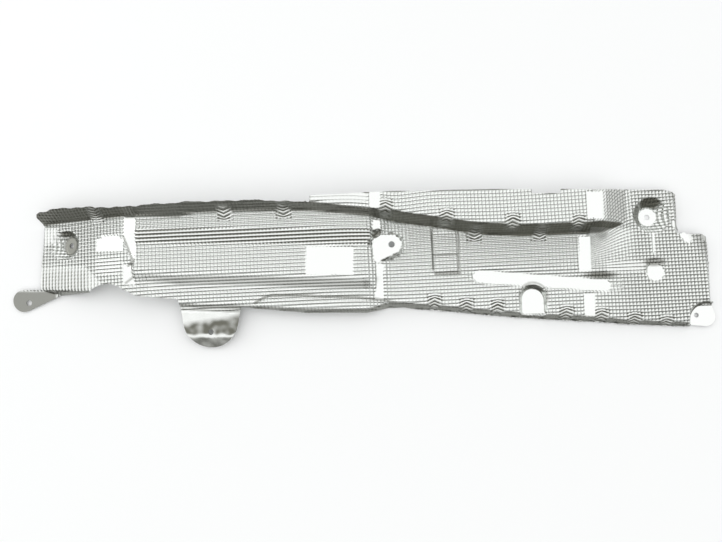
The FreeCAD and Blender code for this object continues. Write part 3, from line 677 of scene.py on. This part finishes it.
# the hollows between the bumps are darkened with painted shade, except where ironed flat
shade_in_valleys = shade_sum("MULTIPLY", shade_sum("MULTIPLY", valley, painted_valley_shade.outputs["Fac"]), left_raised)
# the metal takes the painted shade colour wherever either painted shade mark is stronger
links.new(shade_sum("MAXIMUM", shade_in_valleys, painted_shade.outputs["Fac"]), tone.inputs["Factor"])
matted = shade_sum("MULTIPLY", painted_shade.outputs["Fac"], dull_roughness)
links.new(shade_sum("ADD", gloss.outputs["Result"], matted), metal.inputs["Roughness"])
crisp = nodes.new("ShaderNodeBump")
crisp.inputs["Strength"].default_value = 1.0
crisp.inputs["Distance"].default_value = crisp_height
links.new(shade_sum("MULTIPLY", crown, left_raised), crisp.inputs["Height"])
links.new(crisp.outputs["Normal"], metal.inputs["Normal"])


# Embossing
# The rolled-in pattern: a square net of small rounded bumps, five millimetres apart, raised
# through both faces of the sheet and gone where the press ironed it flat.

bump_height = 0.0018
fold_angle = math.radians(60)

emboss_tree = bpy.data.node_groups.new("embossing", "GeometryNodeTree")
face_of = emboss_tree.interface
face_of.new_socket("Sheet", in_out="INPUT", socket_type="NodeSocketGeometry")
depth_socket = face_of.new_socket("Bump height", in_out="INPUT", socket_type="NodeSocketFloat")
metal_socket = face_of.new_socket("Metal", in_out="INPUT", socket_type="NodeSocketMaterial")
face_of.new_socket("Sheet", in_out="OUTPUT", socket_type="NodeSocketGeometry")
steps = emboss_tree.nodes
wires = emboss_tree.links
given = steps.new("NodeGroupInput")
result = steps.new("NodeGroupOutput")


def emboss_layer(name, kind):
    layer = steps.new("GeometryNodeInputNamedAttribute")
    layer.data_type = kind
    layer.inputs["Name"].default_value = name
    return layer.outputs["Attribute"]


def emboss_sum(operation, first, second=None):
    step = steps.new("ShaderNodeMath")
    step.operation = operation
    for socket, value in zip(step.inputs, (first, second)):
        if isinstance(value, (int, float)):
            socket.default_value = value
        elif value is not None:
            wires.new(value, socket)
    return step.outputs[0]


place = steps.new("ShaderNodeSeparateXYZ")
wires.new(emboss_layer("blank", "FLOAT_VECTOR"), place.inputs[0])
plain_u = emboss_sum("COSINE", emboss_sum("MULTIPLY", place.outputs["X"], math.tau))
ridge_along = emboss_sum("MAXIMUM", place.outputs["Z"], 0.0)
wave_u = emboss_sum("MULTIPLY", plain_u, emboss_sum("SUBTRACT", 1.0, ridge_along))
plain_v = emboss_sum("COSINE", emboss_sum("MULTIPLY", place.outputs["Y"], math.tau))
ridge_across = emboss_sum("MINIMUM", place.outputs["Z"], 0.0)
wave_v = emboss_sum("MULTIPLY", plain_v, emboss_sum("ADD", 1.0, ridge_across))
wave = emboss_sum("ADD", emboss_sum("ADD", wave_u, wave_v), 2.0)
raised = emboss_sum("MULTIPLY", emboss_sum("MULTIPLY", wave, 0.25), given.outputs["Bump height"])
left_raised = emboss_sum("SUBTRACT", 1.0, emboss_layer("ironed", "FLOAT"))
lift = steps.new("ShaderNodeVectorMath")
lift.operation = "SCALE"
wires.new(emboss_layer("press_way", "FLOAT_VECTOR"), lift.inputs[0])
wires.new(emboss_sum("MULTIPLY", raised, left_raised), lift.inputs["Scale"])
press = steps.new("GeometryNodeSetPosition")
wires.new(given.outputs["Sheet"], press.inputs["Geometry"])
wires.new(lift.outputs["Vector"], press.inputs["Offset"])
whole = steps.new("GeometryNodeRealizeInstances")
wires.new(press.outputs["Geometry"], whole.inputs["Geometry"])
finish = steps.new("GeometryNodeSetMaterial")
wires.new(whole.outputs["Geometry"], finish.inputs["Geometry"])
wires.new(given.outputs["Metal"], finish.inputs["Material"])
wires.new(finish.outputs["Geometry"], result.inputs["Sheet"])

sheet = bpy.data.objects.new("embossed_sheet", sheet_mesh)
bpy.context.scene.collection.objects.link(sheet)
embossing = sheet.modifiers.new("embossing", "NODES")
embossing.node_group = emboss_tree
embossing[depth_socket.identifier] = bump_height
embossing[metal_socket.identifier] = aluminium
now = bpy.context.evaluated_depsgraph_get()
embossed = bpy.data.meshes.new_from_object(sheet.evaluated_get(now), depsgraph=now)
sheet.modifiers.remove(embossing)
sheet.data = embossed
embossed.name = "embossed_sheet"
embossed.shade_smooth()
embossed.set_sharp_from_angle(angle=fold_angle)
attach(sheet, "root")
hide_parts("heat_shield")


# Floor, light and camera
# A plain white floor, a bright room that darkens towards the floor and the front, a weak soft
# lamp at the left, and a camera that looks almost straight down on the shield.

floor_reach = 4.0
floor_drop = 0.0004
floor_mesh = bpy.data.meshes.new("floor")
floor_mesh.from_pydata(
    [
        (-floor_reach, -floor_reach, 0),
        (floor_reach, -floor_reach, 0),
        (floor_reach, floor_reach, 0),
        (-floor_reach, floor_reach, 0),
    ],
    [],
    [(0, 1, 2, 3)],
)
floor = bpy.data.objects.new("floor", floor_mesh)
floor.location.z = -floor_drop
bpy.context.scene.collection.objects.link(floor)
paper = bpy.data.materials.new("white_paper")
paper.use_nodes = True
sheet_paper = paper.node_tree.nodes["Principled BSDF"]
sheet_paper.inputs["Base Color"].default_value = (0.90, 0.91, 0.91, 1)
sheet_paper.inputs["Roughness"].default_value = 0.9
sheet_paper.inputs["Specular IOR Level"].default_value = 0.0
floor_mesh.materials.append(paper)

room_strength = 1.22
toward_light = (0.0, 0.35, 1.0)
world = bpy.data.worlds.new("studio")
world.use_nodes = True
bpy.context.scene.world = world
nodes = world.node_tree.nodes
links = world.node_tree.links
air = nodes["Background"]
toward = nodes.new("ShaderNodeTexCoord")
tilt = nodes.new("ShaderNodeVectorMath")
tilt.operation = "DOT_PRODUCT"
tilt.inputs[1].default_value = toward_light
links.new(toward.outputs["Generated"], tilt.inputs[0])
fade = nodes.new("ShaderNodeValToRGB")
fade.color_ramp.elements[0].position = 0.06
fade.color_ramp.elements[0].color = (0.05, 0.048, 0.038, 1)
fade.color_ramp.elements[1].position = 0.47
fade.color_ramp.elements[1].color = (1.0, 1.0, 1.0, 1)
half_way = fade.color_ramp.elements.new(0.22)
half_way.color = (0.26, 0.26, 0.24, 1)
links.new(tilt.outputs["Value"], fade.inputs["Fac"])
links.new(fade.outputs["Color"], air.inputs["Color"])
air.inputs["Strength"].default_value = room_strength

lamp_data = bpy.data.lights.new("soft_box", "AREA")
lamp_data.shape = "RECTANGLE"
lamp_data.size = 1.0
lamp_data.size_y = 0.7
lamp_data.energy = 3.5
lamp = bpy.data.objects.new("soft_box", lamp_data)
lamp.location = (-2.0, 0.7, 1.0)
lamp.rotation_euler = (Vector((0, 0, 0)) - lamp.location).to_track_quat("-Z", "Y").to_euler()
bpy.context.scene.collection.objects.link(lamp)

camera_data = bpy.data.cameras.new("camera")
camera_data.sensor_fit = "HORIZONTAL"
camera_data.sensor_width = 36.0
camera_data.lens = 27.42
camera = bpy.data.objects.new("camera", camera_data)
camera.location = (-0.0042, -0.0859, 0.7878)
camera.rotation_euler = (math.radians(6.0), 0, 0)
bpy.context.scene.collection.objects.link(camera)
bpy.context.scene.camera = camera
bpy.context.scene.view_settings.view_transform = "Standard"
